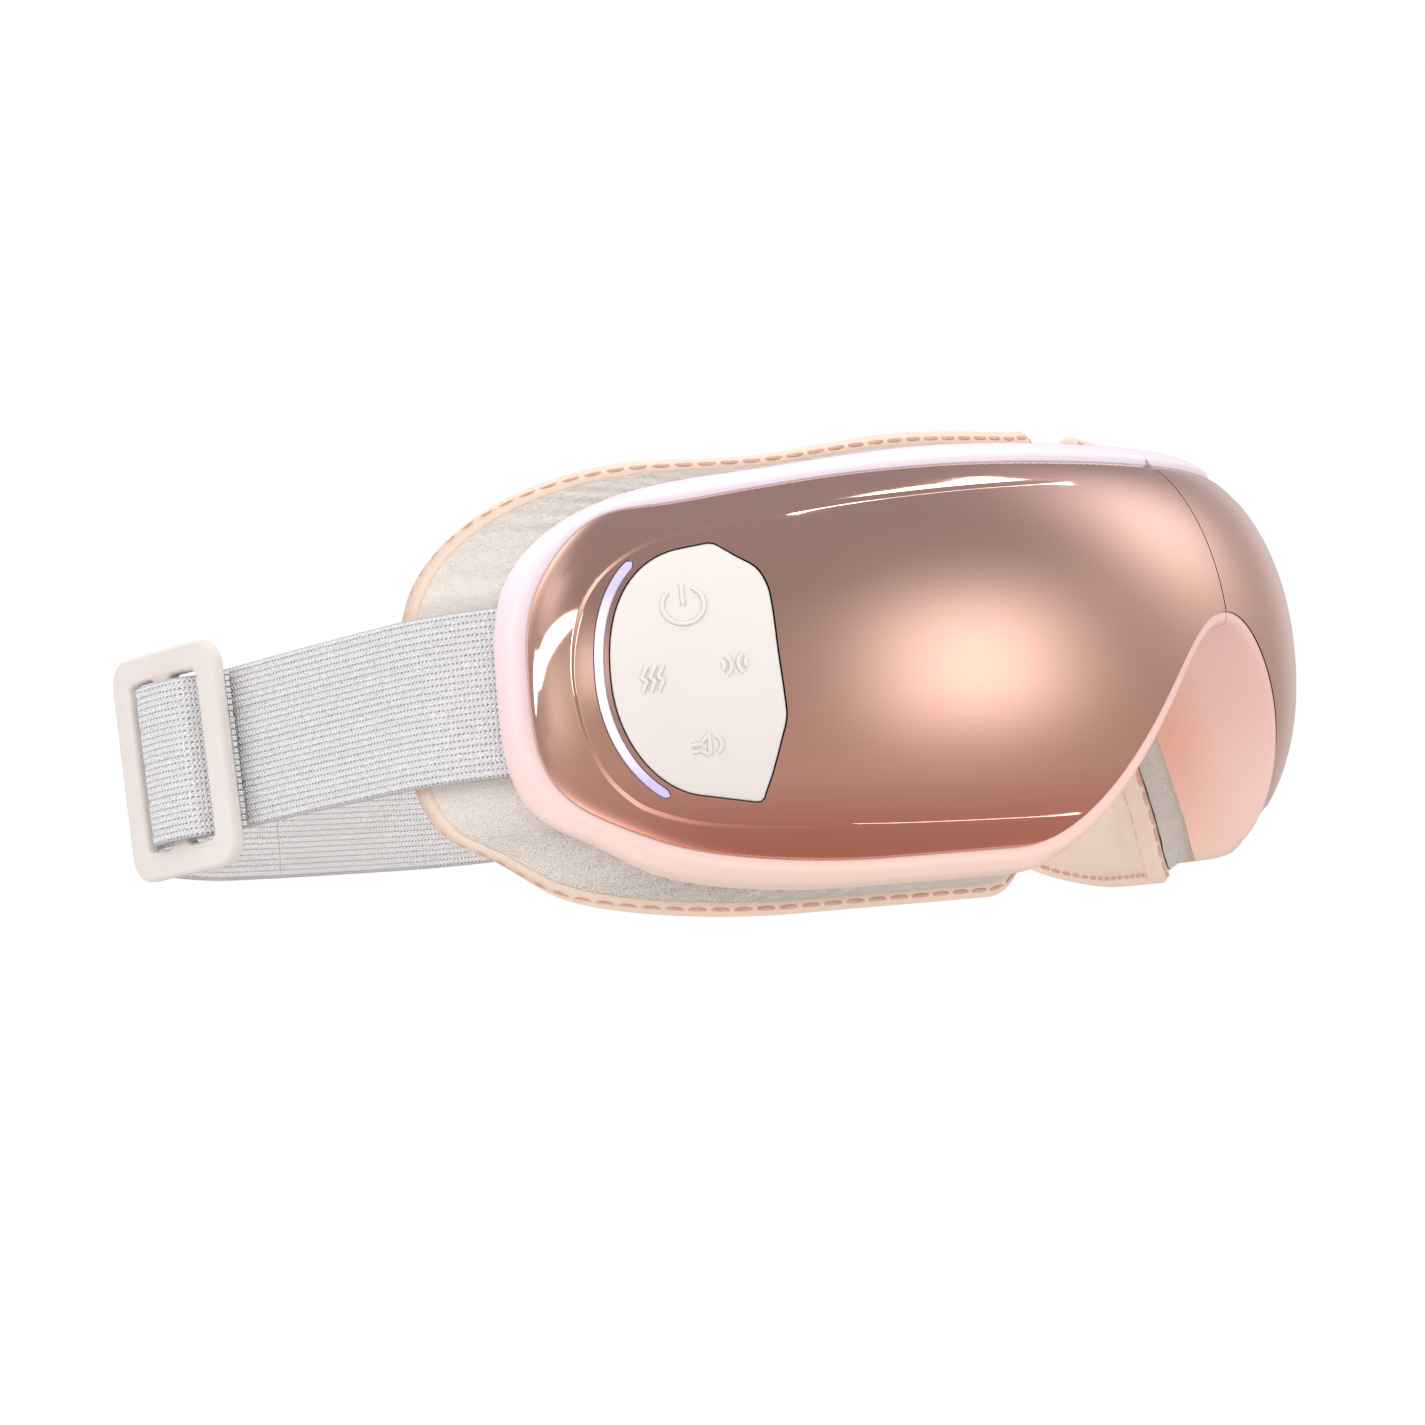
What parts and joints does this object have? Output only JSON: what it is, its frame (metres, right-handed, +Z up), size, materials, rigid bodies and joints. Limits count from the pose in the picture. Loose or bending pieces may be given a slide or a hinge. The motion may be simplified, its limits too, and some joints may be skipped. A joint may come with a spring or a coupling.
{
  "type": "folding eye massager mask",
  "caption": "Folding eye massager: mirror-finish shell halves on a bridge hinge, padded face side, key panel and elastic head strap with a slide.",
  "frame": {"origin": "centre of the standing outline, at the lowest edge of the face pads", "axes": "+X to the wearer's left, +Y back towards the head and the strap's loop, +Z up"},
  "size_m": [0.209, 0.2158, 0.082],
  "materials": {
    "rose_mirror": "electroplated rose-gold plastic, mirror smooth",
    "blush_plastic": "satin moulded plastic with a faint pearl",
    "cream_leather": "soft synthetic leather, fine grain, copper-pink running stitch",
    "eye_mesh": "fine beige-gold perforated fabric",
    "sand_fabric": "tightly woven beige-grey fabric",
    "elastic_white": "white ribbed elastic webbing",
    "cream_plastic": "soft-touch cream keypad",
    "slide_plastic": "matte moulded slide",
    "light_guide": "translucent light guide, white with a lilac tint",
    "inner_plastic": "moulded carrier",
    "dark_plastic": "black moulded plastic",
    "board_green": "solder-masked circuit board",
    "steel": "plain steel",
    "battery_wrap": "foil pouch cell",
    "clear_film": "translucent polyurethane film",
    "heater_film": "copper-coloured polyimide film",
    "silicone": "silicone tube"
  },
  "bodies": {
    "right_half": {"right_front_cover": "rose_mirror", "right_frame": "blush_plastic", "right_backplate": "inner_plastic", "right_gusset": "sand_fabric", "right_face_pad": "cream_leather", "right_eye_lining": "eye_mesh", "right_airbag": "clear_film", "right_heater": "heater_film", "tact_switches": "steel", "switch_board": "board_green", "light_bar": "light_guide", "main_board": "board_green", "speaker": "dark_plastic", "right_vibration_motor": "steel", "right_hinge_leaf": "steel", "right_strap_clamp": "inner_plastic", "right_screws": "steel", "right_strap_end": "elastic_white"},
    "left_half": {"left_front_cover": "rose_mirror", "left_frame": "blush_plastic", "left_backplate": "inner_plastic", "left_gusset": "sand_fabric", "left_face_pad": "cream_leather", "left_eye_lining": "eye_mesh", "left_airbag": "clear_film", "left_heater": "heater_film", "battery": "battery_wrap", "charging_port": "steel", "pump_motor": "steel", "pump_head": "dark_plastic", "air_valve": "dark_plastic", "air_hose": "silicone", "left_vibration_motor": "steel", "left_hinge_leaf": "steel", "hinge_pin": "steel", "bridge_boot": "cream_leather", "left_strap_clamp": "inner_plastic", "left_screws": "steel", "left_strap_end": "elastic_white"},
    "control_panel": {"control_panel": "cream_plastic", "switch_plungers": "dark_plastic"},
    "right_strap": {"right_strap": "elastic_white"},
    "left_strap": {"left_strap": "elastic_white"},
    "slide_buckle": {"slide_buckle": "slide_plastic", "buckle_loop": "elastic_white"},
    "right_motor_weight": {"right_motor_weight": "steel"},
    "left_motor_weight": {"left_motor_weight": "steel"}
  },
  "joints": [
    {"name": "bridge_fold", "type": "hinge", "parent": "right_half", "child": "left_half", "pos_m": [0, -0.07925, 0.061], "axis": [0, 0, 1], "range_deg": [0, 88], "deforming": ["bridge_boot"]},
    {"name": "right_strap_swing", "type": "hinge", "parent": "right_half", "child": "right_strap", "pos_m": [-0.0943, -0.01155, 0.0415], "axis": [0, 0, 1], "range_deg": [0, 75.4]},
    {"name": "left_strap_swing", "type": "hinge", "parent": "left_half", "child": "left_strap", "pos_m": [0.0943, -0.01155, 0.0404], "axis": [0, 0, -1], "range_deg": [0, 75.4]},
    {"name": "buckle_slide", "type": "slide", "parent": "right_strap", "child": "slide_buckle", "axis": [0.2414, 0.9682, -0.0663], "range_m": [-0.024, 0.01]},
    {"name": "panel_press", "type": "slide", "parent": "right_half", "child": "control_panel", "axis": [0.8572, 0.515, 0], "range_m": [0, 0.0005], "stiffness_N_per_m": 3000},
    {"name": "right_motor_spin", "type": "hinge", "parent": "right_half", "child": "right_motor_weight", "pos_m": [-0.02086, -0.08796, 0.055], "axis": [0, 0, 1], "continuous": true},
    {"name": "left_motor_spin", "type": "hinge", "parent": "left_half", "child": "left_motor_weight", "pos_m": [0.02086, -0.08796, 0.055], "axis": [0, 0, 1], "continuous": true}
  ],
  "couplings": [
    {"joint": "right_strap_swing", "follows": "bridge_fold", "ratio": 0.8513},
    {"joint": "left_strap_swing", "follows": "bridge_fold", "ratio": 0.8513}
  ]
}
